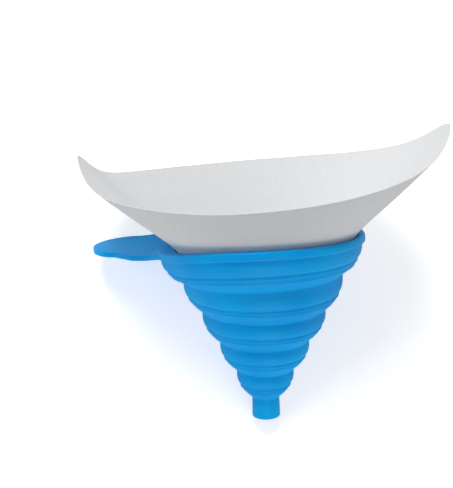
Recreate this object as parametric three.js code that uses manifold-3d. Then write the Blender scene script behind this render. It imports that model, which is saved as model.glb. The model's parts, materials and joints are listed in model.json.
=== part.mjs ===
// Paint strainer: a folded paper filter cone with a gauze tip, seated in a soft stepped funnel.
// Millimetres, +Z up. The pieces are modelled upright about the Z axis, with the spout's end at
// z = 0 and the grip tab towards -X, and the whole is then laid on its back flank, as it rests.
import * as THREE from 'three';
import { mergeVertices } from 'three/addons/utils/BufferGeometryUtils.js';
import Module from 'manifold-3d';

const wasm = await Module();
wasm.setup();

const rad = THREE.MathUtils.degToRad;

// Funnel: the spout and the steps above it, from the bottom up.
const SPOUT_RADIUS = 6.7;
const SPOUT_LENGTH = 10.2;
const SPOUT_CHAMFER = 0.6;
const STEP_WIDTHS = [7.0, 7.6, 7.9, 8.2, 9.1];
const STEP_HEIGHTS = [14.1, 14.6, 15.3, 16.1, 13.0];
const FUNNEL_WALL = 1.6;
const LIP_DEPTH = 0.5;
const RIM_HEIGHT = 3.3;
const RIM_OVERHANG = 1.6;
const RIM_ROUNDING = 0.8;

// Grip tab, measured from the funnel's axis.
const TAB_REACH = 84;
const TAB_THICKNESS = 2.4;
const TAB_ROOT_ANGLE = 44;
const TAB_BEND_REACH = 46;
const TAB_BEND_HALF_WIDTH = 23;
const TAB_NECK_REACH = 56;
const TAB_NECK_HALF_WIDTH = 22.5;
const TAB_END_HALF_WIDTH = 17;
const TAB_TURN = 18;
const TAB_DROP = 0.4;

// Paper cone. Seen from above, its mouth is a lens with a point at each fold line.
const PAPER_THICKNESS = 0.45;
const PAPER_BOTTOM = 40;
const POINT_REACH_RIGHT = 89.4;
const POINT_REACH_LEFT = 79.5;
const MOUTH_HALF_DEPTH = 60;
const MOUTH_RISE = 27;
const BACK_RISE = 2.7;
const PANEL_RISE = 7;
const POINT_RISE = 12.5;
const POINT_SHARPNESS = 10;
const FLARE_REACH = 19;
const FLARE_RISE = 11;
const FLARE_SHARPNESS = 4;
const FOLD_RIDGE = 0.7;
const FOLD_SPREAD = 7;

// Gauze tip, glued inside the paper's lower end.
const GAUZE_THICKNESS = 0.6;
const GAUZE_LAP = 7;
const GAUZE_TIP_RADIUS = 2.2;
const GAUZE_COLUMNS = 12;
const GAUZE_ROWS = 6;
const GAUZE_GAP_SHARE = 0.62;
const GAUZE_GAP_DEPTH = 6;

// Seat clearance, and the soft funnel's lean towards the tab above its lower steps.
const SEAT_GAP = 0.3;
const LEAN = 3.2;
const LEAN_FROM = 58;
const LEAN_TO = 81;

// How the strainer lies: turned about its axis until the tab's edge meets the floor, and tipped
// a little further than the line from the spout to the rim asks, because the rim leans. Degrees.
const REST_TURN = -8.59;
const REST_LEAN = 1.39;

// Facets around each round piece.
const FUNNEL_SIDES = 40;
const PAPER_SIDES = 60;
const GAUZE_SIDES = 36;
const TAB_CURVE_STEPS = 12;
const FLARE_ROWS = 9;

// Where each step of the funnel starts, from the spout up: its radius and its top.
function funnelSteps() {
  const steps = [{ radius: SPOUT_RADIUS, top: SPOUT_LENGTH }];
  for (let i = 0; i < STEP_WIDTHS.length; i += 1) {
    const below = steps[i];
    steps.push({ radius: below.radius + STEP_WIDTHS[i], top: below.top + STEP_HEIGHTS[i] });
  }
  return steps;
}

const STEPS = funnelSteps();
const TOP_STEP = STEPS[STEPS.length - 1];
const RIM_TOP = TOP_STEP.top + RIM_HEIGHT;
const MOUTH_RADIUS = TOP_STEP.radius - FUNNEL_WALL;

// Bowl shape of a step, as shares of its width and height, with the wall's outward normal.
const BOWL = [
  { inward: 0, down: 0.24, out: 1, fall: 0 },
  { inward: 0.08, down: 0.41, out: 0.95, fall: 0.3 },
  { inward: 0.27, down: 0.58, out: 0.85, fall: 0.53 },
  { inward: 0.56, down: 0.8, out: 0.66, fall: 0.75 },
  { inward: 0.92, down: 0.97, out: 0.5, fall: 0.86 },
];
const LIP_STATION = 2;

// Closed outline of the funnel's wall: down the outside, round the spout's end and up the inside.
function funnelOutline() {
  const rimRadius = TOP_STEP.radius + RIM_OVERHANG;
  const outside = [
    [MOUTH_RADIUS + RIM_ROUNDING, RIM_TOP],
    [rimRadius - RIM_ROUNDING, RIM_TOP],
    [rimRadius, RIM_TOP - RIM_ROUNDING],
    [rimRadius, TOP_STEP.top + RIM_ROUNDING],
    [rimRadius - RIM_ROUNDING, TOP_STEP.top],
    [TOP_STEP.radius, TOP_STEP.top],
  ];
  const inside = [[MOUTH_RADIUS, RIM_TOP - RIM_ROUNDING]];
  for (let i = STEPS.length - 1; i > 0; i -= 1) {
    const step = STEPS[i];
    const next = STEPS[i - 1];
    const width = step.radius - next.radius;
    const height = step.top - next.top;
    BOWL.forEach((station, index) => {
      const radius = step.radius - station.inward * width;
      const level = step.top - station.down * height;
      outside.push([radius, level]);
      if (index === LIP_STATION) outside.push([radius - LIP_DEPTH, level - LIP_DEPTH]);
      inside.push([radius - FUNNEL_WALL * station.out, level + FUNNEL_WALL * station.fall]);
    });
    outside.push([next.radius, next.top]);
    inside.push([next.radius - FUNNEL_WALL, next.top]);
  }
  outside.push([SPOUT_RADIUS, SPOUT_CHAMFER]);
  outside.push([SPOUT_RADIUS - SPOUT_CHAMFER, 0]);
  inside.push([SPOUT_RADIUS - FUNNEL_WALL, 0]);
  return [...inside, ...outside.reverse(), inside[0]].map(([r, z]) => new THREE.Vector2(r, z));
}

// Turns an outline about the Z axis.
function turned(outline, sides) {
  const geometry = new THREE.LatheGeometry(outline, sides);
  geometry.rotateX(Math.PI / 2);
  return welded(geometry);
}

// Merges a geometry's shared corners, so that it is one closed skin.
function welded(geometry) {
  geometry.deleteAttribute('normal');
  geometry.deleteAttribute('uv');
  return mergeVertices(geometry, 1e-4);
}

function toSolid(geometry) {
  const mesh = new wasm.Mesh({
    numProp: 3,
    vertProperties: geometry.attributes.position.array,
    triVerts: new Uint32Array(geometry.index.array),
  });
  return new wasm.Manifold(mesh);
}

function toGeometry(solid) {
  const mesh = solid.getMesh();
  const geometry = new THREE.BufferGeometry();
  geometry.setAttribute('position', new THREE.BufferAttribute(mesh.vertProperties, 3));
  geometry.setIndex(new THREE.BufferAttribute(mesh.triVerts, 1));
  return geometry;
}

// Moves every corner of a geometry by a rule that takes and changes a point.
function reshaped(geometry, rule) {
  const position = geometry.attributes.position;
  const point = new THREE.Vector3();
  for (let i = 0; i < position.count; i += 1) {
    point.fromBufferAttribute(position, i);
    rule(point);
    position.setXYZ(i, point.x, point.y, point.z);
  }
  return geometry;
}

// Bends the upright object's axis over, between two levels, so that its top leans towards -X.
function leaned(point) {
  const span = LEAN_TO - LEAN_FROM;
  const run = THREE.MathUtils.clamp(point.z - LEAN_FROM, 0, span);
  const angle = (rad(LEAN) * run) / span;
  const above = Math.max(point.z - LEAN_TO, 0);
  const bend = rad(LEAN) / span;
  const axisX = -(1 - Math.cos(bend * run)) / bend - above * Math.sin(angle);
  const axisZ = Math.min(point.z, LEAN_FROM) + Math.sin(bend * run) / bend + above * Math.cos(angle);
  const across = point.x;
  point.x = axisX + across * Math.cos(angle);
  point.z = axisZ + across * Math.sin(angle);
}

// Grip tab: a tongue whose root follows the inside of the rim's ring.
function tabGeometry() {
  const rootRadius = MOUTH_RADIUS + (FUNNEL_WALL + RIM_OVERHANG) / 2;
  const rootAngle = rad(TAB_ROOT_ANGLE);
  const rootX = -rootRadius * Math.cos(rootAngle);
  const rootY = rootRadius * Math.sin(rootAngle);
  const endStart = -(TAB_REACH - TAB_END_HALF_WIDTH);
  const shape = new THREE.Shape();
  shape.moveTo(rootX, rootY);
  shape.quadraticCurveTo(-TAB_BEND_REACH, TAB_BEND_HALF_WIDTH, -TAB_NECK_REACH, TAB_NECK_HALF_WIDTH);
  shape.lineTo(endStart, TAB_END_HALF_WIDTH);
  shape.absarc(endStart, 0, TAB_END_HALF_WIDTH, Math.PI / 2, (3 * Math.PI) / 2, false);
  shape.lineTo(-TAB_NECK_REACH, -TAB_NECK_HALF_WIDTH);
  shape.quadraticCurveTo(-TAB_BEND_REACH, -TAB_BEND_HALF_WIDTH, rootX, -rootY);
  shape.absarc(0, 0, rootRadius, Math.PI + rootAngle, Math.PI - rootAngle, true);
  const geometry = new THREE.ExtrudeGeometry(shape, {
    depth: TAB_THICKNESS,
    bevelEnabled: false,
    curveSegments: TAB_CURVE_STEPS,
  });
  geometry.translate(0, 0, RIM_TOP - TAB_DROP - TAB_THICKNESS);
  geometry.rotateZ(rad(-TAB_TURN));
  return welded(geometry);
}

function funnelGeometry() {
  const body = toSolid(turned(funnelOutline(), FUNNEL_SIDES));
  const tab = toSolid(tabGeometry());
  return reshaped(toGeometry(body.add(tab)), leaned);
}

// The paper's straight cone fits inside the rim and inside the step below it.
const SEAT_STEP = STEPS[STEPS.length - 2];
const SEAT_LEVEL = SEAT_STEP.top + FUNNEL_WALL;
const SEAT_RADIUS = SEAT_STEP.radius - FUNNEL_WALL - SEAT_GAP - FOLD_RIDGE;
const BRIM_RADIUS = MOUTH_RADIUS - SEAT_GAP - FOLD_RIDGE;
const CONE_SLOPE = (BRIM_RADIUS - SEAT_RADIUS) / (RIM_TOP - SEAT_LEVEL);

// Outer radius of the straight paper cone at a level of the upright object.
function coneRadius(level) {
  return BRIM_RADIUS - (RIM_TOP - level) * CONE_SLOPE;
}

// Where the mouth's edge lies in the direction of a point on the straight cone.
function mouthEdge(cosine, sine) {
  const reach = cosine > 0 ? POINT_REACH_RIGHT : POINT_REACH_LEFT;
  const spread = Math.abs(cosine);
  const rise = MOUTH_RISE + BACK_RISE * Math.sign(sine) * sine ** 2;
  const lift = PANEL_RISE * spread ** 2 + POINT_RISE * spread ** POINT_SHARPNESS;
  const depth = MOUTH_HALF_DEPTH * sine * Math.abs(sine);
  return new THREE.Vector3(reach * cosine, depth, RIM_TOP + rise + lift);
}

// Small outward ridge that the sharp fold leaves along each side of the cone.
function foldRidge(cosine, sine) {
  const turn = Math.atan2(Math.abs(sine), Math.abs(cosine));
  return Math.sign(cosine) * FOLD_RIDGE * Math.exp(-turn / rad(FOLD_SPREAD));
}

// Takes a point of the straight cone to its place on the folded cone with its flared mouth.
function folded(point) {
  const radius = Math.hypot(point.x, point.y);
  const cosine = point.x / radius;
  const sine = point.y / radius;
  const share = Math.max(0, (point.z - RIM_TOP) / MOUTH_RISE);
  const nominal = Math.min(coneRadius(point.z), BRIM_RADIUS);
  const inset = radius - coneRadius(point.z);
  const start = new THREE.Vector3(nominal * cosine, nominal * sine, Math.min(point.z, RIM_TOP));
  const end = mouthEdge(cosine, sine);
  const bulge = Math.abs(cosine) ** FLARE_SHARPNESS;
  const middle = start.clone().lerp(end, 0.5);
  middle.x += Math.sign(cosine) * FLARE_REACH * bulge;
  middle.z += FLARE_RISE * bulge;
  const path = new THREE.QuadraticBezierCurve3(start, middle, end);
  point.copy(path.getPoint(share));
  point.x += inset * cosine + foldRidge(cosine, sine);
  point.y += inset * sine;
}

function paperGeometry() {
  const levels = [PAPER_BOTTOM, SEAT_LEVEL, RIM_TOP];
  for (let i = 1; i <= FLARE_ROWS; i += 1) levels.push(RIM_TOP + (MOUTH_RISE * i) / FLARE_ROWS);
  const outside = levels.map((z) => [coneRadius(z), z]);
  const inside = levels.map((z) => [coneRadius(z) - PAPER_THICKNESS, z]).reverse();
  const outline = [...outside, ...inside, outside[0]].map(([r, z]) => new THREE.Vector2(r, z));
  const geometry = reshaped(turned(outline, PAPER_SIDES), folded);
  return reshaped(geometry, leaned);
}

// Outer radius of the gauze at a level: it follows the inside of the paper.
function gauzeRadius(level) {
  return coneRadius(level) - PAPER_THICKNESS - SEAT_GAP;
}

const GAUZE_TOP = PAPER_BOTTOM + GAUZE_LAP;
const GAUZE_TIP = PAPER_BOTTOM - (gauzeRadius(PAPER_BOTTOM) - GAUZE_TIP_RADIUS) / CONE_SLOPE;

function gauzeShell() {
  const outline = [
    [0, GAUZE_TIP],
    [GAUZE_TIP_RADIUS, GAUZE_TIP],
    [gauzeRadius(GAUZE_TOP), GAUZE_TOP],
    [gauzeRadius(GAUZE_TOP) - GAUZE_THICKNESS, GAUZE_TOP],
    [GAUZE_TIP_RADIUS - GAUZE_THICKNESS, GAUZE_TIP + GAUZE_THICKNESS],
    [0, GAUZE_TIP + GAUZE_THICKNESS],
  ].map(([r, z]) => new THREE.Vector2(r, z));
  return toSolid(turned(outline, GAUZE_SIDES));
}

// One gap of the gauze: a wedge that cuts right through the wall between two ribs.
function gauzeGap(column, row) {
  const columnAngle = (2 * Math.PI) / GAUZE_COLUMNS;
  const rowHeight = (PAPER_BOTTOM - GAUZE_TIP) / (GAUZE_ROWS + 1);
  const bottom = GAUZE_TIP + rowHeight * (row + 1 - GAUZE_GAP_SHARE / 2);
  const height = rowHeight * GAUZE_GAP_SHARE;
  const radius = gauzeRadius(bottom + height / 2);
  const width = 2 * radius * Math.tan((columnAngle * GAUZE_GAP_SHARE) / 2);
  const depth = GAUZE_THICKNESS * GAUZE_GAP_DEPTH;
  const gap = new THREE.BoxGeometry(depth, width, height);
  gap.translate(radius, 0, bottom + height / 2);
  gap.rotateZ(columnAngle * (column + 0.5));
  return toSolid(welded(gap));
}

function gauzeGeometry() {
  let solid = gauzeShell();
  for (let row = 0; row < GAUZE_ROWS; row += 1) {
    for (let column = 0; column < GAUZE_COLUMNS; column += 1) {
      solid = solid.subtract(gauzeGap(column, row));
    }
  }
  return reshaped(toGeometry(solid), leaned);
}

function piece(name, geometry, colour, roughness) {
  const material = new THREE.MeshStandardMaterial({ color: colour, roughness, metalness: 0 });
  const mesh = new THREE.Mesh(geometry, material);
  mesh.name = name;
  return mesh;
}

// Lays the upright pieces on the floor on their back flank, centred over the origin.
function atRest(upright) {
  const rimOut = TOP_STEP.radius + RIM_OVERHANG - SPOUT_RADIUS;
  const flankAngle = THREE.MathUtils.radToDeg(Math.atan2(rimOut, RIM_TOP));
  upright.rotation.z = rad(REST_TURN);
  const tipped = new THREE.Group();
  tipped.rotation.x = -rad(90 - flankAngle - REST_LEAN);
  tipped.add(upright);
  const lying = new THREE.Group();
  lying.add(tipped);
  const box = new THREE.Box3().setFromObject(lying, true);
  const centre = box.getCenter(new THREE.Vector3());
  tipped.position.set(-centre.x, -centre.y, -box.min.z);
  return lying;
}

const upright = new THREE.Group();
upright.add(piece('silicone_funnel', funnelGeometry(), 0x1496dc, 0.5));
upright.add(piece('paper_cone', paperGeometry(), 0xe4e5e7, 0.85));
upright.add(piece('gauze_tip', gauzeGeometry(), 0xf2f2ee, 0.7));

export default atRest(upright);
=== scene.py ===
"""Paint strainer: a paper filter cone with a gauze tip, seated in a soft stepped funnel.

The pieces are shaped upright about the Z axis in millimetres, with the spout's end at height zero
and the grip tab towards -X, and are then laid on their back flank, in metres, as the CAD model lies.
"""

import json
import logging
import math
from dataclasses import dataclass, field
from enum import Enum

import bmesh
import bpy
from bmesh.types import BMesh, BMVert
from bpy.types import Material, Mesh, Node, NodeTree, Object
from mathutils import Matrix, Vector, noise

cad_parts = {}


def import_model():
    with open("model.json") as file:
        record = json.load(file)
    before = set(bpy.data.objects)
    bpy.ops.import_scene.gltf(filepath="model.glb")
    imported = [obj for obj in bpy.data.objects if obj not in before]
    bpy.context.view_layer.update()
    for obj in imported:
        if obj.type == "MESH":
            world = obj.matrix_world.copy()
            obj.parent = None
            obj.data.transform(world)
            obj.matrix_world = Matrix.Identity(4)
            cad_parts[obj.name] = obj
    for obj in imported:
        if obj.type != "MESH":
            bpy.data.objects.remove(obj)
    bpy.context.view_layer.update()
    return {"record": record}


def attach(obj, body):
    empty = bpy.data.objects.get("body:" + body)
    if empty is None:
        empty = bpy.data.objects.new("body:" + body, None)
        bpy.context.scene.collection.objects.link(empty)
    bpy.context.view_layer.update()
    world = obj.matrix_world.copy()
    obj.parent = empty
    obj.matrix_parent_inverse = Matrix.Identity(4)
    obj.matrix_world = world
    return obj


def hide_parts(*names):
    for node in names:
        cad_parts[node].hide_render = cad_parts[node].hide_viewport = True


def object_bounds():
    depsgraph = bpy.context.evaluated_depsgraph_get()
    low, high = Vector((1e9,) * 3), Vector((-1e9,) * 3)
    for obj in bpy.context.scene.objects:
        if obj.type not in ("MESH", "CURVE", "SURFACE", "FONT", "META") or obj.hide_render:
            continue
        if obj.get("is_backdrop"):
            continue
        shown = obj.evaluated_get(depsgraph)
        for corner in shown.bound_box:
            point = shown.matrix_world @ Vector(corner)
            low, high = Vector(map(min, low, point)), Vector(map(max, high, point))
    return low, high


LOG = logging.getLogger("paint_strainer")
MM = 0.001  # in metres
MERGE = 1e-4  # millimetres within which places are the same
Z_AXIS = Vector((0.0, 0.0, 1.0))

Pair = tuple[float, float]
Corner = tuple[float, float, float]


class Slot(Enum):
    """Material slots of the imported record."""

    SILICONE = "silicone"
    PAPER = "paper"
    GAUZE = "gauze"


def linear(code: str) -> tuple[float, float, float, float]:
    """Turns an sRGB hex colour into the linear colour that shaders take.

    Args:
        code: Six hex digits, such as "1c9be0".

    Returns:
        Red, green, blue and an alpha of one.
    """
    parts = [int(code[i : i + 2], 16) / 255.0 for i in (0, 2, 4)]
    red, green, blue = [p / 12.92 if p <= 0.04045 else ((p + 0.055) / 1.055) ** 2.4 for p in parts]
    return red, green, blue, 1.0


def share_between(value: float, start: float, end: float) -> float:
    """Gives how far a value has come from start to end, held between nought and one."""
    return min(max((value - start) / (end - start), 0.0), 1.0)


def gentle(share: float) -> float:
    """Eases a share in and out, so that what it drives has no kink at either end."""
    return share**2 * (3 - 2 * share)


def bent(start: Vector, corner: Vector, end: Vector, share: float) -> Vector:
    """Gives a point of the curve that leaves start towards corner and comes from there to end."""
    return start * (1 - share) ** 2 + corner * (2 * share * (1 - share)) + end * share**2


def on_circle(radius: float, angle: float, middle_x: float = 0.0) -> Vector:
    """Gives a point of a level circle whose middle lies on the X axis, at an angle in radians."""
    return Vector((middle_x + radius * math.cos(angle), radius * math.sin(angle), 0.0))


@dataclass(frozen=True)
class RestPose:
    """How the strainer lies on the floor, and how its soft upper part leans towards the tab.

    The lean grows between the two heights, lean_from and lean_to, and spout_ring is how far the
    record's spout_end mount lies from the axis, all in millimetres.
    """

    turn_deg: float = -8.59
    tip_deg: float = 63.06
    lean_deg: float = 3.2
    lean_from: float = 58.0
    lean_to: float = 81.0
    spout_ring: float = 5.6

    def rotation(self) -> Matrix:
        """Gives the rotation from the upright strainer to the lying one."""
        tip = Matrix.Rotation(-math.radians(self.tip_deg), 3, "X")
        return tip @ Matrix.Rotation(math.radians(self.turn_deg), 3, "Z")

    def origin(self, record: dict) -> Vector:
        """Finds the middle of the spout's end in the lying frame.

        Args:
            record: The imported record, whose spout_end mount lies on the ring at the spout's end.

        Returns:
            The point in metres.
        """
        mount = next(m for m in record["mounts"] if m["name"] == "spout_end")
        return Vector(mount["pos_m"]) - self.rotation() @ Vector((0.0, self.spout_ring * MM, 0.0))

    def leaned(self, point: Vector) -> Vector:
        """Bends a point of the upright strainer over with the funnel's lean.

        Args:
            point: A place in millimetres.

        Returns:
            The place after the bend.
        """
        span = self.lean_to - self.lean_from
        run = min(max(point.z - self.lean_from, 0.0), span)
        bend = math.radians(self.lean_deg) / span
        angle = bend * run
        above = max(point.z - self.lean_to, 0.0)
        axis_x = -(1.0 - math.cos(angle)) / bend - above * math.sin(angle)
        axis_z = min(point.z, self.lean_from) + math.sin(angle) / bend + above * math.cos(angle)
        x = axis_x + point.x * math.cos(angle)
        return Vector((x, point.y, axis_z + point.x * math.sin(angle)))


@dataclass
class Placer:
    """Carries finished pieces from the upright frame to the floor."""

    pose: RestPose
    origin: Vector

    def place(self, point: Vector, leans: bool = True) -> Vector:
        """Gives a point's place in the row frame.

        Args:
            point: A place in the upright frame, in millimetres.
            leans: Whether the point follows the funnel's lean.

        Returns:
            The place in metres.
        """
        bent = self.pose.leaned(point) if leans else point
        return self.origin + self.pose.rotation() @ (bent * MM)

    def carry(self, mesh: Mesh) -> None:
        """Moves every vertex of a finished mesh to its place in the row frame.

        Args:
            mesh: A mesh in the upright frame, in millimetres.
        """
        for vertex in mesh.vertices:
            vertex.co = self.place(vertex.co)


def mesh_object(name: str, bm: BMesh) -> Object:
    """Makes an object of a bmesh, with its faces pointing outwards, and frees the bmesh.

    Args:
        name: Plain name of the piece.
        bm: The finished bmesh.

    Returns:
        The object, linked to the scene.
    """
    bmesh.ops.recalc_face_normals(bm, faces=bm.faces)
    mesh = bpy.data.meshes.new(name)
    bm.to_mesh(mesh)
    bm.free()
    made = bpy.data.objects.new(name, mesh)
    bpy.context.collection.objects.link(made)
    return made


def apply_modifiers(piece: Object) -> None:
    """Bakes a piece's modifiers into its mesh.

    Args:
        piece: The object with live modifiers.
    """
    graph = bpy.context.evaluated_depsgraph_get()
    baked = bpy.data.meshes.new_from_object(piece.evaluated_get(graph))
    piece.modifiers.clear()
    piece.data = baked


def smooth(piece: Object, sharp_deg: float) -> None:
    """Shades a piece smooth, apart from edges sharper than an angle.

    Args:
        piece: The finished object.
        sharp_deg: Angle between faces from which an edge stays sharp.
    """
    for polygon in piece.data.polygons:
        polygon.use_smooth = True
    piece.data.set_sharp_from_angle(angle=math.radians(sharp_deg))


def spin_round(bm: BMesh, flank: list, sides: int) -> None:
    """Spins a flank about the Z axis through a full turn and closes the seam.

    Args:
        bm: The bmesh that holds the flank.
        flank: The flank's vertices and edges.
        sides: Steps of the full turn.
    """
    bmesh.ops.spin(bm, geom=flank, cent=(0, 0, 0), axis=Z_AXIS, dvec=(0, 0, 0),
                   angle=math.tau, steps=sides, use_merge=True, use_duplicate=False)
    bmesh.ops.remove_doubles(bm, verts=bm.verts, dist=MERGE)


@dataclass
class Outline:
    """A closed outline in the XZ plane whose corners are rounded one by one, in millimetres.

    A rounding is held to longest_cut, a share of the side beside it, and left out below shortest_cut.
    """

    corners: list[Corner] = field(default_factory=list)
    segments: int = 4
    longest_cut: float = 0.48
    shortest_cut: float = 0.01

    def add(self, radius: float, level: float, rounding: float) -> None:
        """Adds a corner at a radius and level, with the radius of its rounding."""
        self.corners.append((radius, level, rounding))

    def points(self) -> list[Vector]:
        """Works out the outline's points.

        Returns:
            Points in the XZ plane, in order.
        """
        made: list[Vector] = []
        places = [Vector((radius, 0.0, level)) for radius, level, _ in self.corners]
        for i, corner in enumerate(places):
            back = places[i - 1] - corner
            ahead = places[(i + 1) % len(places)] - corner
            cut = min(self.corners[i][2], back.length * self.longest_cut, ahead.length * self.longest_cut)
            if cut < self.shortest_cut:
                made.append(corner)
                continue
            start, end = corner + back.normalized() * cut, corner + ahead.normalized() * cut
            made += [bent(start, corner, end, k / self.segments) for k in range(self.segments + 1)]
        return made

    def turned(self, sides: int) -> BMesh:
        """Spins the outline about the Z axis into a closed ring.

        Args:
            sides: Steps of the full turn.

        Returns:
            The ring as a bmesh.
        """
        bm = bmesh.new()
        verts = [bm.verts.new(p) for p in self.points()]
        edges = [bm.edges.new((v, verts[(i + 1) % len(verts)])) for i, v in enumerate(verts)]
        spin_round(bm, verts + edges, sides)
        return bm


def set_values(node: Node, settings: dict) -> None:
    """Sets a shader node's properties and the values of its unlinked inputs.

    Args:
        node: The node.
        settings: Property or input socket names, and their values.
    """
    for name, value in settings.items():
        if hasattr(node, name):
            setattr(node, name, value)
        else:
            node.inputs[name].default_value = value


def add_node(tree: NodeTree, kind: str, settings: dict | None = None,
             links: dict | None = None) -> Node:
    """Adds a shader node, sets its properties and sockets, and links its inputs.

    Args:
        tree: The node tree.
        kind: Blender's name of the node type.
        settings: Property or input socket names, and their values.
        links: Input socket names or numbers, and the output sockets that feed them.

    Returns:
        The new node.
    """
    node = tree.nodes.new(kind)
    set_values(node, settings or {})
    for name, source in (links or {}).items():
        tree.links.new(source, node.inputs[name])
    return node


def blank_material(name: str) -> tuple[Material, Node]:
    """Makes a material that holds only a Principled shader and its output.

    Args:
        name: Plain name of the material.

    Returns:
        The material and its shader.
    """
    material = bpy.data.materials.new(name)
    material.use_nodes = True
    return material, material.node_tree.nodes["Principled BSDF"]


def dress(piece: Object, material: Material) -> None:
    """Gives a piece its one material."""
    piece.data.materials.clear()
    piece.data.materials.append(material)


@dataclass(frozen=True)
class Finish:
    """What every finish has: two close shades that drift into each other, a roughness and an IOR.

    The shades are sRGB hex colours that the pattern reaches at the stops, in clouds of shade_mm.
    """

    name: str
    shades: tuple[str, str]
    stops: Pair
    shade_mm: float
    shade_detail: float
    roughness: float
    ior: float

    def mottled(self) -> tuple[Material, Node, Node, Node]:
        """Starts the material, with its shades, roughness and IOR.

        Returns:
            The material, its shader, its texture coordinates and the pattern behind its shades.
        """
        material, shader = blank_material(self.name)
        tree = material.node_tree
        place = add_node(tree, "ShaderNodeTexCoord")
        cloud = add_node(tree, "ShaderNodeTexNoise",
                         {"Scale": 1.0 / (self.shade_mm * MM), "Detail": self.shade_detail},
                         {"Vector": place.outputs["Object"]})
        tone = add_node(tree, "ShaderNodeValToRGB", links={"Fac": cloud.outputs["Fac"]})
        for element, position, code in zip(tone.color_ramp.elements, self.stops, self.shades):
            element.position = position
            element.color = linear(code)
        tree.links.new(tone.outputs["Color"], shader.inputs["Base Color"])
        set_values(shader, {"Roughness": self.roughness, "IOR": self.ior})
        return material, shader, place, cloud


@dataclass(frozen=True)
class SoftFinish(Finish):
    """A finish that lets a little light in, as deep as glow_mm, and shines less than a hard one."""

    specular_level: float
    glow_weight: float
    glow_colour: tuple[float, float, float]
    glow_mm: float

    def let_light_in(self, shader: Node) -> None:
        """Sets how much the surface shines and how deep light gets under it.

        Args:
            shader: The material's Principled shader.
        """
        set_values(shader, {"Specular IOR Level": self.specular_level,
                            "Subsurface Weight": self.glow_weight,
                            "Subsurface Radius": self.glow_colour,
                            "Subsurface Scale": self.glow_mm * MM})


@dataclass(frozen=True)
class MouldedSilicone(SoftFinish):
    """Moulded silicone rubber: a satin blue skin that lets a little light in at thin edges."""

    name: str = "moulded_silicone"
    shades: tuple[str, str] = ("00a0f2", "02b4fc")
    stops: Pair = (0.3, 0.7)
    shade_mm: float = 34.0
    shade_detail: float = 3.0
    roughness: float = 0.46
    ior: float = 1.41
    specular_level: float = 0.18
    glow_weight: float = 0.06
    glow_colour: tuple[float, float, float] = (0.4, 0.8, 1.0)
    glow_mm: float = 2.0
    roughness_drift: Pair = (-0.05, 0.08)
    skin_mm: float = 0.5
    skin_detail: float = 2.0
    skin_depth_mm: float = 0.03
    skin_strength: float = 0.35

    def make(self) -> Material:
        """Builds the material, whose roughness drifts with its shades and whose skin is finely grained.

        Returns:
            The material.
        """
        material, shader, place, cloud = self.mottled()
        tree = material.node_tree
        smoothest, roughest = (self.roughness + drift for drift in self.roughness_drift)
        matt = add_node(tree, "ShaderNodeMapRange", {"To Min": smoothest, "To Max": roughest},
                        {"Value": cloud.outputs["Fac"]})
        skin = add_node(tree, "ShaderNodeTexNoise",
                        {"Scale": 1.0 / (self.skin_mm * MM), "Detail": self.skin_detail},
                        {"Vector": place.outputs["Object"]})
        bump = add_node(tree, "ShaderNodeBump",
                        {"Strength": self.skin_strength, "Distance": self.skin_depth_mm * MM},
                        {"Height": skin.outputs["Fac"]})
        tree.links.new(matt.outputs["Result"], shader.inputs["Roughness"])
        tree.links.new(bump.outputs["Normal"], shader.inputs["Normal"])
        self.let_light_in(shader)
        return material


@dataclass(frozen=True)
class FilterPaper(SoftFinish):
    """Calendered filter paper: matt white, with faint cloudiness and short fibres in the sheet."""

    name: str = "calendered_filter_paper"
    shades: tuple[str, str] = ("d7d8d9", "dbdcdd")
    stops: Pair = (0.28, 0.72)
    shade_mm: float = 2.4
    shade_detail: float = 5.0
    roughness: float = 0.82
    ior: float = 1.47
    specular_level: float = 0.3
    glow_weight: float = 0.1
    glow_colour: tuple[float, float, float] = (1.0, 1.0, 1.0)
    glow_mm: float = 1.0
    fibre_mm: float = 0.7
    fibre_detail: float = 6.0
    fibre_curl: float = 1.6
    fibre_depth_mm: float = 0.02
    fibre_strength: float = 0.45

    def make(self) -> Material:
        """Builds the material, with the fibres as a faint relief.

        Returns:
            The material.
        """
        material, shader, place, _ = self.mottled()
        tree = material.node_tree
        fibre = add_node(tree, "ShaderNodeTexNoise",
                         {"Scale": 1.0 / (self.fibre_mm * MM), "Detail": self.fibre_detail,
                          "Distortion": self.fibre_curl},
                         {"Vector": place.outputs["Object"]})
        bump = add_node(tree, "ShaderNodeBump",
                        {"Strength": self.fibre_strength, "Distance": self.fibre_depth_mm * MM},
                        {"Height": fibre.outputs["Fac"]})
        tree.links.new(bump.outputs["Normal"], shader.inputs["Normal"])
        self.let_light_in(shader)
        return material


@dataclass(frozen=True)
class NylonThread(Finish):
    """Woven nylon monofilament: pale, smooth thread with a soft shine."""

    name: str = "nylon_monofilament"
    shades: tuple[str, str] = ("e9eae4", "f6f6f1")
    stops: Pair = (0.35, 0.65)
    shade_mm: float = 0.6
    shade_detail: float = 2.0
    roughness: float = 0.38
    ior: float = 1.53

    def make(self) -> Material:
        """Builds the material, which is the plain mottled one."""
        return self.mottled()[0]


@dataclass(frozen=True)
class DriedGlue(Finish):
    """Dried white glue: slightly yellow and glossy, uneven along its line."""

    name: str = "dried_white_glue"
    shades: tuple[str, str] = ("dcdccf", "ecebdf")
    stops: Pair = (0.35, 0.65)
    shade_mm: float = 2.2
    shade_detail: float = 3.0
    roughness: float = 0.34
    ior: float = 1.47
    bead_depth_mm: float = 0.2
    bead_strength: float = 0.6

    def make(self) -> Material:
        """Builds the material, which stands higher where it is paler.

        Returns:
            The material.
        """
        material, shader, _, bead = self.mottled()
        tree = material.node_tree
        bump = add_node(tree, "ShaderNodeBump",
                        {"Strength": self.bead_strength, "Distance": self.bead_depth_mm * MM},
                        {"Height": bead.outputs["Fac"]})
        tree.links.new(bump.outputs["Normal"], shader.inputs["Normal"])
        return material


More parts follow.
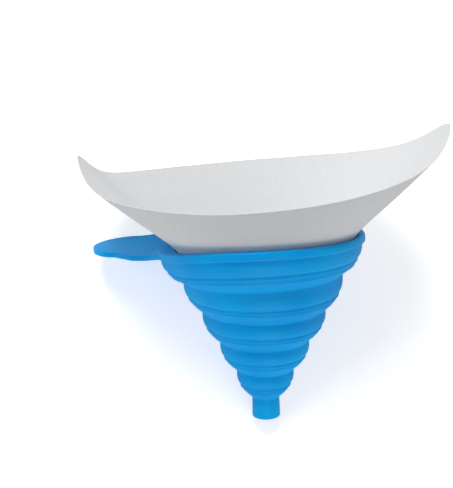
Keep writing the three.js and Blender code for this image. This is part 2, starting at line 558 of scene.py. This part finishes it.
@dataclass
class SiliconeFunnel:
    """The soft stepped funnel with its rim, grip tab and spout, one moulding, in millimetres.

    The tab's pull pinches the rim inwards above the tab and stretches the front of the rim up and
    outwards, and the tab's near edge sags.
    """

    placer: Placer
    finish: MouldedSilicone = MouldedSilicone()
    sides: int = 144
    sharp_deg: float = 42.0

    spout_radius: float = 6.7
    spout_length: float = 10.2
    spout_roundings: Pair = (0.7, 0.45)  # outside, inside
    step_widths: tuple[float, ...] = (7.0, 7.6, 7.9, 8.2, 9.1)
    step_heights: tuple[float, ...] = (14.1, 14.6, 15.3, 16.1, 13.0)
    wall: float = 1.6
    rim_height: float = 3.3
    rim_overhang: float = 1.6
    rim_rounding: float = 1.1
    mouth_rounding: float = 0.9
    rim_fillet: Pair = (0.1, 0.6)  # drop below the rim, rounding

    # Corners of a step's outside above and below its two fine lips: the shares of its width inwards
    # and of its height down, and the rounding.
    above_lips: tuple[Corner, ...] = ((0.0, 0.24, 2.4), (0.09, 0.42, 2.2))
    below_lips: tuple[Corner, ...] = ((0.56, 0.8, 2.5), (0.9, 0.95, 1.0))
    # The upper lip's edge in the same shares, and the lips' corners as seen from it: outwards, up and
    # the rounding.
    lip_edge: Pair = (0.27, 0.585)
    lip_corners: tuple[Corner, ...] = (
        (0.12, 1.1, 0.5), (0.35, 0.35, 0.22), (0.25, -0.2, 0.18), (-0.75, -0.45, 0.18),
        (-0.98, -1.5, 0.2), (-1.08, -1.95, 0.16), (-1.53, -2.15, 0.16))
    # Where a step's outside meets the step below: inwards, the share of its height down, rounding.
    step_foot: Corner = (0.2, 0.02, 0.3)
    # Corners of a step's inside: the shares of its width inwards and of its height down, and how many
    # walls further in and back up the corner lies.
    inside_shares: tuple[tuple[float, float, float, float], ...] = (
        (0.0, 0.24, 1.0, 0.0), (0.27, 0.58, 0.85, 0.53), (0.56, 0.8, 0.66, 0.75), (0.92, 0.97, 0.5, 0.86))
    inside_rounding: float = 1.8
    inside_foot_rounding: float = 0.8

    tab_reach: float = 84.0
    tab_thickness: float = 2.4
    tab_drop: float = 0.4
    tab_rounding: float = 0.75
    tab_rounding_steps: int = 4
    tab_root_deg: float = 44.0
    tab_neck: Pair = (56.0, 22.5)
    tab_bend: Pair = (0.82, 1.02)  # shares of the neck's place
    tab_end: float = 17.0
    tab_turn_deg: float = 18.0
    tab_steps: tuple[int, int, int] = (14, 40, 30)  # along a side, the end and the root
    tab_grid: float = 3.0
    tab_grid_lines: int = 30

    sag: float = 1.0
    sag_from: float = 38.0
    sag_to: float = 52.0
    pinch: float = 5.4
    pinch_margin: float = 0.8
    pinch_depth: float = 9.0
    pinch_run: float = 6.0
    pull: float = 6.2
    pull_outwards: float = 0.6
    pull_from: float = 62.0
    pull_turn_deg: float = -14.0
    pull_spread_deg: Pair = (44.0, 70.0)  # towards the tab, away from it
    pull_fade: float = 9.0

    def steps(self) -> list[Pair]:
        """Lists each step's radius and top, from the spout up.

        Returns:
            Pairs of a radius and a height.
        """
        made = [(self.spout_radius, self.spout_length)]
        for width, height in zip(self.step_widths, self.step_heights):
            radius, top = made[-1]
            made.append((radius + width, top + height))
        return made

    @property
    def rim_top(self) -> float:
        """Height of the rim's upper face."""
        return self.steps()[-1][1] + self.rim_height

    @property
    def mouth_radius(self) -> float:
        """Radius of the funnel's open mouth."""
        return self.steps()[-1][0] - self.wall

    def bowl(self, outline: Outline, upper: Pair, lower: Pair) -> None:
        """Adds the outside of one step, from its top down to the step below.

        Args:
            outline: Outline that the corners are added to.
            upper: Radius and top of the step.
            lower: Radius and top of the step below.
        """
        width, height = upper[0] - lower[0], upper[1] - lower[1]
        for inwards, down, rounding in self.above_lips:
            outline.add(upper[0] - inwards * width, upper[1] - down * height, rounding)
        inwards, down = self.lip_edge
        edge_radius, edge_level = upper[0] - inwards * width, upper[1] - down * height
        for outwards, up, rounding in self.lip_corners:
            outline.add(edge_radius + outwards, edge_level + up, rounding)
        for inwards, down, rounding in self.below_lips:
            outline.add(upper[0] - inwards * width, upper[1] - down * height, rounding)
        inwards, down, rounding = self.step_foot
        outline.add(lower[0] - inwards, lower[1] - down * height, rounding)

    def inner_bowl(self, upper: Pair, lower: Pair) -> list[Corner]:
        """Gives the inside of one step, from its top down.

        Args:
            upper: Radius and top of the step.
            lower: Radius and top of the step below.

        Returns:
            Corners as an outline takes them.
        """
        width, height = upper[0] - lower[0], upper[1] - lower[1]
        made = []
        for inwards, down, walls_in, walls_up in self.inside_shares:
            radius = upper[0] - inwards * width - self.wall * walls_in
            made.append((radius, upper[1] - down * height + self.wall * walls_up, self.inside_rounding))
        made.append((lower[0] - self.wall, lower[1], self.inside_foot_rounding))
        return made

    def outline(self) -> Outline:
        """Builds the closed outline of the funnel's wall.

        Returns:
            The outline, from the mouth down the outside and back up the inside.
        """
        steps = self.steps()
        top_radius, top_level = steps[-1]
        rim = top_radius + self.rim_overhang
        fillet_drop, fillet_rounding = self.rim_fillet
        made = Outline()
        made.add(self.mouth_radius, self.rim_top, self.mouth_rounding)
        made.add(rim, self.rim_top, self.rim_rounding)
        made.add(rim, top_level, self.rim_rounding)
        made.add(top_radius, top_level - fillet_drop, fillet_rounding)
        pairs = list(zip(steps[:0:-1], steps[-2::-1]))
        for upper, lower in pairs:
            self.bowl(made, upper, lower)
        outer_rounding, inner_rounding = self.spout_roundings
        made.add(self.spout_radius, 0.0, outer_rounding)
        made.add(self.spout_radius - self.wall, 0.0, inner_rounding)
        inside = [corner for upper, lower in pairs for corner in self.inner_bowl(upper, lower)]
        for corner in reversed(inside):
            made.add(*corner)
        return made

    def pinched(self, point: Vector) -> Vector:
        """Widens the rim's upper face inwards above the tab, up to the pinched paper.

        Args:
            point: A place on the round funnel.

        Returns:
            The place on the pinched funnel.
        """
        radius = math.hypot(point.x, point.y)
        if radius > self.mouth_radius + self.pinch_margin:
            return point
        start = self.rim_top - self.pinch_depth
        rise = gentle(share_between(point.z, start, start + self.pinch_run))
        towards_tab = max(-point.x / radius, 0.0) ** 2
        return point + Vector((self.pinch * towards_tab * rise, 0.0, 0.0))

    def pulled(self, point: Vector) -> Vector:
        """Moves a point of the soft rim up and outwards in front, where the tab's pull stretches it.

        Args:
            point: A place on the round funnel or in its mouth.

        Returns:
            The place on the stretched funnel.
        """
        rise = gentle(share_between(point.z, self.pull_from, self.rim_top))
        turn = math.degrees(math.atan2(point.x, -point.y)) - self.pull_turn_deg
        turn = (turn + 180.0) % 360.0 - 180.0
        spread = self.pull_spread_deg[0 if turn < 0 else 1]
        outward = Vector((point.x, point.y, 0.0))
        past_rim = max(outward.length - self.mouth_radius - self.wall - self.rim_overhang, 0.0)
        strength = self.pull * rise * math.exp(-((turn / spread) ** 2))
        strength *= math.exp(-past_rim / self.pull_fade)
        return point + Z_AXIS * strength + outward.normalized() * (self.pull_outwards * strength)

    def sagged(self, point: Vector) -> Vector:
        """Lets the near edge of the tab hang a little.

        Args:
            point: A place on the flat tab, before the tab's turn.

        Returns:
            The place on the sagging tab.
        """
        near = share_between(-point.y, 0.0, self.tab_neck[1])
        away = share_between(-point.x, self.sag_from, self.sag_to)
        return point - Z_AXIS * (self.sag * near**2 * gentle(away))

    def tab_outline(self) -> list[Vector]:
        """Traces the grip tab from above, as a tongue whose root follows the rim.

        Returns:
            The tongue's corners, in order and at height zero.
        """
        side_steps, end_steps, root_steps = self.tab_steps
        root = self.mouth_radius + (self.wall + self.rim_overhang) / 2
        root_angle = math.radians(self.tab_root_deg)
        neck_x, neck_y = self.tab_neck
        start = Vector((-root * math.cos(root_angle), root * math.sin(root_angle), 0.0))
        bend = Vector((-neck_x * self.tab_bend[0], neck_y * self.tab_bend[1], 0.0))
        neck = Vector((-neck_x, neck_y, 0.0))
        side = [bent(start, bend, neck, i / side_steps) for i in range(side_steps + 1)]
        turns = [math.pi / 2 + math.pi * i / end_steps for i in range(end_steps + 1)]
        end = [on_circle(self.tab_end, turn, self.tab_end - self.tab_reach) for turn in turns]
        far = [Vector((p.x, -p.y, 0.0)) for p in reversed(side)]
        sweep = [math.pi + root_angle - 2 * root_angle * i / root_steps for i in range(1, root_steps)]
        back = [on_circle(root, turn) for turn in sweep]
        return side + end + far + back

    def tab(self) -> Object:
        """Extrudes the tab's outline, rounds its edges, cuts it into a grid and lets it sag.

        Returns:
            The tab, still on its own.
        """
        bm = bmesh.new()
        level = self.rim_top - self.tab_drop - self.tab_thickness
        turn = Matrix.Rotation(-math.radians(self.tab_turn_deg), 3, "Z")
        verts = [bm.verts.new(p + Z_AXIS * level) for p in self.tab_outline()]
        face = bm.faces.new(verts)
        grown = bmesh.ops.extrude_face_region(bm, geom=[face])
        top = [g for g in grown["geom"] if isinstance(g, BMVert)]
        bmesh.ops.translate(bm, verts=top, vec=Z_AXIS * self.tab_thickness)
        rims = [e for e in bm.edges if abs(e.verts[0].co.z - e.verts[1].co.z) < MERGE]
        bmesh.ops.bevel(bm, geom=rims, offset=self.tab_rounding, offset_type="OFFSET",
                        segments=self.tab_rounding_steps, profile=0.5, affect="EDGES", material=-1,
                        clamp_overlap=True)
        for axis in (Vector((1.0, 0.0, 0.0)), Vector((0.0, 1.0, 0.0))):
            for i in range(-self.tab_grid_lines, self.tab_grid_lines + 1):
                parts = bm.verts[:] + bm.edges[:] + bm.faces[:]
                bmesh.ops.bisect_plane(bm, geom=parts, dist=MERGE, plane_co=axis * (self.tab_grid * i),
                                       plane_no=axis)
        for vertex in bm.verts:
            vertex.co = turn @ self.sagged(vertex.co)
        return mesh_object("grip_tab_blank", bm)

    def build(self) -> list[Object]:
        """Joins the ring and the tab into one moulding, stretches it, lays it down and dresses it.

        Returns:
            The one piece.
        """
        piece = mesh_object("stepped_funnel", self.outline().turned(self.sides))
        tab = self.tab()
        union = piece.modifiers.new("tab", "BOOLEAN")
        union.operation = "UNION"
        union.solver = "EXACT"
        union.object = tab
        apply_modifiers(piece)
        bpy.data.objects.remove(tab)
        for vertex in piece.data.vertices:
            vertex.co = self.pulled(self.pinched(vertex.co))
        self.placer.carry(piece.data)
        smooth(piece, self.sharp_deg)
        dress(piece, self.finish.make())
        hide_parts("silicone_funnel")
        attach(piece, "root")
        return [piece]


@dataclass(frozen=True)
class MouthPoint:
    """One of the two points that the paper's mouth is drawn out into, in millimetres.

    The reach is from the axis, a higher sharpness makes the point narrower, and the flare is how far
    the sheet bulges outwards on its way there.
    """

    reach: float
    sharpness: float
    flare: float


@dataclass
class PaperCone:
    """The folded paper cone, whose mouth flares into a point at each fold line, in millimetres.

    Up to the funnel's rim it is a straight cone that follows the rim's stretch and pinch, and above
    it the sheet curves from there to the free edge. The wall_inset is from the cone's outside to the
    sheet's middle surface, and the easing is the height over which the sheet turns outwards.
    """

    placer: Placer
    funnel: SiliconeFunnel
    finish: FilterPaper = FilterPaper()
    thickness: float = 0.3
    bottom: float = 40.0
    sides: int = 360
    flare_rows: int = 34
    seat_rows: int = 22
    blank_radius: float = 10.0
    sharp_deg: float = 50.0

    far_point: MouthPoint = MouthPoint(89.4, 9.0, 11.0)
    tab_point: MouthPoint = MouthPoint(79.5, 18.0, 8.0)
    half_depth: float = 60.0
    depth_power: float = 1.06
    rise: float = 27.0
    back_rise: float = 2.7
    panel_rise: float = 7.0
    point_rise: float = 12.5
    flare_rise: float = 6.0
    flare_power: int = 4
    easing: float = 3.2

    fold_ridge: float = 0.7
    fold_spread_deg: float = 7.0
    seated_ridge: float = 0.15
    seat_gap: float = 0.1
    wall_inset: float = 0.17
    pinch_from: float = 60.0

    seam_deg: float = 92.0
    seam_width: float = 8.0
    seam_height: float = 0.24

    # The slight unevenness of hand-opened paper, slow and quick: how much of the noise a millimetre
    # covers, the height at the free edge, and the place in the noise.
    waves: tuple[tuple[float, float, Corner], ...] = (
        (0.021, 0.5, (3.1, 0.4, 7.7)), (0.06, 0.12, (9.2, 5.3, 1.8)))
    wave_seed: int = 11

    def slope(self) -> float:
        """Works out the straight cone's change of radius with height, from its two seats in the funnel.

        Returns:
            Millimetres of radius for each of height.
        """
        radius, top = self.funnel.steps()[-2]
        seat = radius - self.funnel.wall - self.seat_gap - self.seated_ridge
        return (self.brim() - seat) / (self.funnel.rim_top - top - self.funnel.wall)

    def brim(self) -> float:
        """Gives the cone's radius where it passes the funnel's rim."""
        return self.funnel.mouth_radius - self.seat_gap - self.seated_ridge

    def radius(self, level: float) -> float:
        """Gives the straight cone's outer radius at a height."""
        return self.brim() - (self.funnel.rim_top - level) * self.slope()

    def mouth_point(self, cosine: float) -> MouthPoint:
        """Gives the point of the mouth on the side that a direction's share along X tells."""
        return self.far_point if cosine > 0 else self.tab_point

    def edge(self, cosine: float, sine: float) -> Vector:
        """Finds the mouth's edge in a direction seen from above.

        Args:
            cosine: Share of the direction along X.
            sine: Share of the direction along Y.

        Returns:
            The place of the edge.
        """
        point = self.mouth_point(cosine)
        spread = abs(cosine)
        depth = self.half_depth * math.copysign(abs(sine) ** self.depth_power, sine)
        rise = self.rise + self.back_rise * math.copysign(sine**2, sine)
        lift = self.panel_rise * spread**2 + self.point_rise * spread**point.sharpness
        return Vector((point.reach * cosine, depth, self.funnel.rim_top + rise + lift))

    def waviness(self, place: Vector, share: float) -> Vector:
        """Gives the sheet's unevenness, which grows towards the free edge.

        Args:
            place: A place on the even sheet.
            share: Share of the way from the rim to the mouth's edge.

        Returns:
            The shift of that place.
        """
        shift = Vector((0.0, 0.0, 0.0))
        for per_mm, height, start in self.waves:
            shift += noise.noise_vector(place * per_mm + Vector(start)) * height
        return shift * share

    def seam_lift(self, angle: float, radius: float) -> float:
        """Gives how far the glued overlap stands out, with one crisp edge and one that fades.

        Args:
            angle: Direction about the axis, in radians from nought to a full turn.
            radius: Radius of the cone there.

        Returns:
            The lift, which is nought beside the seam.
        """
        across = (angle - math.radians(self.seam_deg)) * radius
        if across < 0 or across > self.seam_width:
            return 0.0
        return self.seam_height * (1.0 - across / self.seam_width)

    def pinch_at(self, cosine: float, level: float) -> float:
        """Gives how far the sheet above the tab stands off the funnel's rim, inwards."""
        rise = gentle(share_between(level, self.pinch_from, self.funnel.rim_top))
        return self.funnel.pinch * max(-cosine, 0.0) ** 2 * rise

    def folded(self, angle: float, level: float, share: float) -> Vector:
        """Places a point of the sheet.

        Args:
            angle: Direction about the axis, in radians.
            level: Height on the straight cone.
            share: Share of the way from the rim to the mouth's edge.

        Returns:
            The place on the sheet's middle surface.
        """
        cosine, sine = math.cos(angle), math.sin(angle)
        radius = min(self.radius(level), self.brim()) - self.wall_inset
        seated = Vector((radius * cosine, radius * sine, min(level, self.funnel.rim_top)))
        start = self.funnel.pulled(seated) + Vector((self.pinch_at(cosine, level), 0.0, 0.0))
        end = self.edge(cosine, sine)
        bulge = abs(cosine) ** self.flare_power
        middle = (start + end) / 2
        middle.x += math.copysign(self.mouth_point(cosine).flare * bulge, cosine)
        middle.z += self.flare_rise * bulge
        place = bent(start, middle, end, share)
        # The sheet leaves the rim along the straight cone and only then turns outwards.
        outward = Vector((cosine, sine, 0.0))
        leaving = middle - start
        kink = leaving.dot(outward) / leaving.z - self.slope()
        eased = self.easing * (1.0 - math.exp((start.z - place.z) / self.easing)) * (1 - share) ** 2
        place -= outward * (kink * eased)
        # A low ridge stands out along the fold line on either side.
        turn = math.atan2(abs(sine), abs(cosine))
        height = self.seated_ridge + (self.fold_ridge - self.seated_ridge) * share
        ridge = height * math.exp(-turn / math.radians(self.fold_spread_deg))
        place.x += math.copysign(ridge, cosine)
        return place + outward * self.seam_lift(angle % math.tau, radius) + self.waviness(place, share)

    def sheet(self) -> BMesh:
        """Spins a straight flank into a cone and folds it into shape, as a single skin.

        Returns:
            The sheet's middle surface.
        """
        noise.seed_set(self.wave_seed)
        top = self.funnel.rim_top
        seat = [self.bottom + (top - self.bottom) * i / self.seat_rows for i in range(self.seat_rows + 1)]
        rows = [(level, 0.0) for level in seat]
        rows += [(top + i, i / self.flare_rows) for i in range(1, self.flare_rows + 1)]
        bm = bmesh.new()
        # The flank's heights are the numbers of its rows, which is how each is found after the spin.
        verts = [bm.verts.new((self.blank_radius + i, 0.0, float(i))) for i in range(len(rows))]
        edges = [bm.edges.new(pair) for pair in zip(verts, verts[1:])]
        spin_round(bm, verts + edges, self.sides)
        for vertex in bm.verts:
            level, share = rows[round(vertex.co.z)]
            vertex.co = self.folded(math.atan2(vertex.co.y, vertex.co.x), level, share)
        return bm

    def build(self) -> list[Object]:
        """Thickens the folded sheet, lays it down and dresses it.

        Returns:
            The one piece.
        """
        piece = mesh_object("folded_paper_cone", self.sheet())
        wall = piece.modifiers.new("thickness", "SOLIDIFY")
        wall.thickness = self.thickness
        wall.offset = 0.0
        wall.use_even_offset = True
        apply_modifiers(piece)
        self.placer.carry(piece.data)
        smooth(piece, self.sharp_deg)
        dress(piece, self.finish.make())
        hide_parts("paper_cone")
        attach(piece, "root")
        return [piece]


@dataclass
class GauzeTip:
    """The woven gauze in the cone's cut-off tip, with the line of glue that holds it, in millimetres.

    The real cloth is finer than a picture can show, so its threads are drawn as coarse as they need
    to be to show. It reaches from the tip up into the paper by the lap.
    """

    placer: Placer
    paper: PaperCone
    finish: NylonThread = NylonThread()
    glue_finish: DriedGlue = DriedGlue()
    lap: float = 6.6
    tip_level: float = 15.9
    inset: float = 1.0
    pitch: float = 0.72
    thread: float = 0.26
    weave: float = 0.09
    sharp_deg: float = 60.0

    side_lap: float = 0.7  # share of the pitch by which each side edge passes the seam
    merging: float = 0.3  # share of the pitch within which crossings become one
    closing: float = 0.6  # share of the slant from the apex to the tip's level where the cloth starts

    glue_above: float = 0.7
    glue_width: float = 3.0
    glue_inset: float = 0.5
    glue_depths: Pair = (1.25, 1.15)  # at the lower edge, at the upper one
    glue_bevels: Pair = (0.2, 0.4)
    glue_roundings: Pair = (0.1, 0.3)  # against the paper, inwards
    glue_sides: int = 120

    def radius(self, level: float) -> float:
        """Gives the gauze's radius at a height, just inside the paper."""
        return self.paper.radius(level) - self.inset

    def apex(self) -> float:
        """Gives the height at which the gauze's cone would come to a point."""
        return self.tip_level - self.radius(self.tip_level) / self.paper.slope()

    def wrapped(self, flat: Vector) -> Vector:
        """Rolls a point of the flat cloth up into the cone.

        Args:
            flat: A place on the cloth, with the cone's point at its origin and +Y into the cloth.

        Returns:
            The place on the cone.
        """
        half_angle = math.atan(self.paper.slope())
        slant = math.hypot(flat.x, flat.y)
        turn = math.atan2(flat.x, flat.y) / math.sin(half_angle)
        radius = slant * math.sin(half_angle)
        return Vector((radius * math.cos(turn), radius * math.sin(turn),
                       self.apex() + slant * math.cos(half_angle)))

    def kept(self, flat: Vector, inner: float, outer: float, half_turn: float) -> bool:
        """Tells whether a point of the flat cloth lies on the part that is rolled up.

        Args:
            flat: A place on the cloth.
            inner: Slant from the cone's point at which the cloth starts.
            outer: Slant at which it ends.
            half_turn: Angle on the flat cloth that makes half a turn of the cone, in radians.

        Returns:
            Whether the point stays.
        """
        slant = math.hypot(flat.x, flat.y)
        lapped = half_turn + self.side_lap * self.pitch / max(slant, self.pitch)
        return inner <= slant <= outer and abs(math.atan2(flat.x, flat.y)) <= lapped

    def cloth(self) -> Object:
        """Weaves the flat cloth, cuts it round, rolls it up and gives its threads their thickness.

        Returns:
            The cloth, in the upright frame.
        """
        half_angle = math.atan(self.paper.slope())
        half_turn = math.sin(half_angle) * math.pi
        outer = (self.paper.bottom + self.lap - self.apex()) / math.cos(half_angle)
        inner = (self.tip_level - self.apex()) / math.cos(half_angle) * self.closing
        cells = math.ceil(outer / self.pitch)
        bm = bmesh.new()
        bmesh.ops.create_grid(bm, x_segments=2 * cells, y_segments=2 * cells, size=cells * self.pitch)
        cut = [v for v in bm.verts if not self.kept(v.co, inner, outer, half_turn)]
        bmesh.ops.delete(bm, geom=cut, context="VERTS")
        for vertex in bm.verts:
            crossing = round(vertex.co.x / self.pitch) + round(vertex.co.y / self.pitch)
            place = self.wrapped(vertex.co)
            outward = Vector((place.x, place.y, 0.0)).normalized()
            vertex.co = place + outward * (self.weave if crossing % 2 else -self.weave)
        bmesh.ops.remove_doubles(bm, verts=bm.verts, dist=self.pitch * self.merging)
        piece = mesh_object("gauze_cloth", bm)
        threads = piece.modifiers.new("threads", "WIREFRAME")
        threads.thickness = self.thread
        threads.use_even_offset = False
        threads.use_replace = True
        apply_modifiers(piece)
        return piece

    def glue(self) -> Object:
        """Turns the thin band of glue that covers the cloth's upper edge.

        Returns:
            The band, in the upright frame.
        """
        top = self.paper.bottom + self.lap + self.glue_above
        low = top - self.glue_width
        low_depth, top_depth = self.glue_depths
        low_bevel, top_bevel = self.glue_bevels
        hidden, shown = self.glue_roundings
        outline = Outline()
        outline.add(self.paper.radius(top) - self.glue_inset, top, hidden)
        outline.add(self.paper.radius(low) - self.glue_inset, low, hidden)
        outline.add(self.paper.radius(low) - low_depth, low + low_bevel, shown)
        outline.add(self.paper.radius(top) - top_depth, top - top_bevel, shown)
        return mesh_object("glue_line", outline.turned(self.glue_sides))

    def build(self) -> list[Object]:
        """Makes the cloth and the glue, lays both down and dresses them.

        Returns:
            The cloth and the glue.
        """
        made = [self.cloth(), self.glue()]
        for piece, finish in zip(made, (self.finish, self.glue_finish)):
            self.placer.carry(piece.data)
            smooth(piece, self.sharp_deg)
            dress(piece, finish.make())
            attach(piece, "root")
        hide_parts("gauze_tip")
        return made


@dataclass(frozen=True)
class Lamp:
    """A soft square lamp that hangs about the strainer and is turned inwards.

    The azimuth goes round the upright strainer, from 0 in front to 90 away from the tab, and the
    elevation is above its own level. The square's size and the distance are in metres, the power is
    in watts, and the height that the lamp is turned to on the strainer is in millimetres.
    """

    name: str
    azimuth_deg: float
    elevation_deg: float
    size: float
    power: float
    distance: float = 1.1
    height: float = 70.0


@dataclass
class Studio:
    """Pale floor, soft lamps and the camera at the photograph's angle.

    The camera's distance and its target on the upright strainer are in millimetres, its frame and
    focal length in the photograph's pixels, and its clipping and the floor's size in metres.
    """

    placer: Placer
    distance: float = 480.0
    elevation_deg: float = 12.44
    roll_deg: float = 1.78
    target: tuple[float, float, float] = (-16.7, 0.0, 85.32)
    focal_px: float = 1028.7
    frame_px: float = 488.0
    sensor: float = 36.0
    clip: Pair = (0.01, 20.0)
    floor_size: float = 9.0
    floor_colour: str = "ececed"
    floor_glow: float = 0.55
    floor_roughness: float = 0.9
    floor_specular: float = 0.1
    light_colour: str = "ffffff"
    ambient: float = 0.29
    lamps: tuple[Lamp, ...] = (
        Lamp("key", azimuth_deg=-10.0, elevation_deg=62.0, size=0.5, power=8.6),
        Lamp("side", azimuth_deg=80.0, elevation_deg=-10.0, size=0.6, power=1.2),
        Lamp("tab_side", azimuth_deg=-72.0, elevation_deg=24.0, size=0.5, power=2.0),
        Lamp("low", azimuth_deg=8.0, elevation_deg=-54.0, size=0.3, power=0.86, distance=0.42, height=14.0))

    def upright_direction(self, azimuth_deg: float, elevation_deg: float) -> Vector:
        """Turns a direction about the upright strainer into one in the row frame.

        Args:
            azimuth_deg: Direction round the strainer, with 0 in front and 90 away from the tab.
            elevation_deg: Angle above the strainer's own level.

        Returns:
            A unit vector from the strainer outwards.
        """
        azimuth, elevation = math.radians(azimuth_deg), math.radians(elevation_deg)
        flat = math.cos(elevation)
        local = Vector((math.sin(azimuth) * flat, -math.cos(azimuth) * flat, math.sin(elevation)))
        return self.placer.pose.rotation() @ local

    def camera(self) -> None:
        """Makes the camera and aims it."""
        data = bpy.data.cameras.new("camera")
        data.sensor_width = self.sensor
        data.lens = self.focal_px * self.sensor / self.frame_px
        data.clip_start, data.clip_end = self.clip
        seen = bpy.data.objects.new("camera", data)
        bpy.context.collection.objects.link(seen)
        aim = self.placer.place(Vector(self.target), leans=False)
        back = self.upright_direction(0.0, self.elevation_deg)
        up = self.placer.pose.rotation() @ Z_AXIS
        right = up.cross(back).normalized()
        up = back.cross(right).normalized()
        roll = Matrix.Rotation(math.radians(-self.roll_deg), 3, back)
        axes = Matrix((roll @ right, roll @ up, back)).transposed()
        seen.matrix_world = Matrix.Translation(aim + back * self.distance * MM) @ axes.to_4x4()
        bpy.context.scene.camera = seen

    def hang(self, lamp: Lamp) -> None:
        """Hangs one lamp and turns it to the strainer.

        Args:
            lamp: The lamp's size, power and place.
        """
        data = bpy.data.lights.new(lamp.name, "AREA")
        data.shape, data.size, data.energy = "SQUARE", lamp.size, lamp.power
        made = bpy.data.objects.new(lamp.name, data)
        bpy.context.collection.objects.link(made)
        away = self.upright_direction(lamp.azimuth_deg, lamp.elevation_deg)
        place = self.placer.place(Vector((0.0, 0.0, lamp.height))) + away * lamp.distance
        made.matrix_world = Matrix.Translation(place) @ away.to_track_quat("Z", "Y").to_matrix().to_4x4()

    def floor(self) -> None:
        """Lays the pale floor under the strainer."""
        bm = bmesh.new()
        bmesh.ops.create_grid(bm, x_segments=1, y_segments=1, size=self.floor_size / 2)
        sheet = mesh_object("floor", bm)
        material, shader = blank_material("painted_board")
        tree = material.node_tree
        # The glow is what the camera sees of the floor, and lights nothing.
        ray = add_node(tree, "ShaderNodeLightPath")
        glow = add_node(tree, "ShaderNodeMath", {"operation": "MULTIPLY"}, {0: ray.outputs["Is Camera Ray"]})
        glow.inputs[1].default_value = self.floor_glow
        tree.links.new(glow.outputs["Value"], shader.inputs["Emission Strength"])
        set_values(shader, {"Emission Color": linear(self.light_colour),
                            "Base Color": linear(self.floor_colour),
                            "Roughness": self.floor_roughness,
                            "Specular IOR Level": self.floor_specular})
        dress(sheet, material)
        sheet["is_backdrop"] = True

    def world(self) -> None:
        """Fills the surroundings with even pale light."""
        world = bpy.data.worlds.new("studio")
        world.use_nodes = True
        background = world.node_tree.nodes["Background"]
        set_values(background, {"Color": linear(self.light_colour), "Strength": self.ambient})
        bpy.context.scene.world = world

    def build(self) -> None:
        """Sets up the floor, the lamps, the world and the camera."""
        self.floor()
        self.world()
        for lamp in self.lamps:
            self.hang(lamp)
        self.camera()


def corners() -> list[list[float]]:
    """Gives the shown object's box as plain lists."""
    return [list(corner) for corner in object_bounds()]


def main() -> None:
    """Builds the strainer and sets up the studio."""
    logging.basicConfig(level=logging.INFO)
    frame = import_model()
    bpy.context.scene.view_settings.view_transform = "Standard"
    pose = RestPose()
    placer = Placer(pose, pose.origin(frame["record"]))
    funnel = SiliconeFunnel(placer)
    paper = PaperCone(placer, funnel)
    for part in (funnel, paper, GauzeTip(placer, paper)):
        for piece in part.build():
            LOG.info("%s: %d faces", piece.name, len(piece.data.polygons))
    Studio(placer).build()


if __name__ == "__main__":
    main()
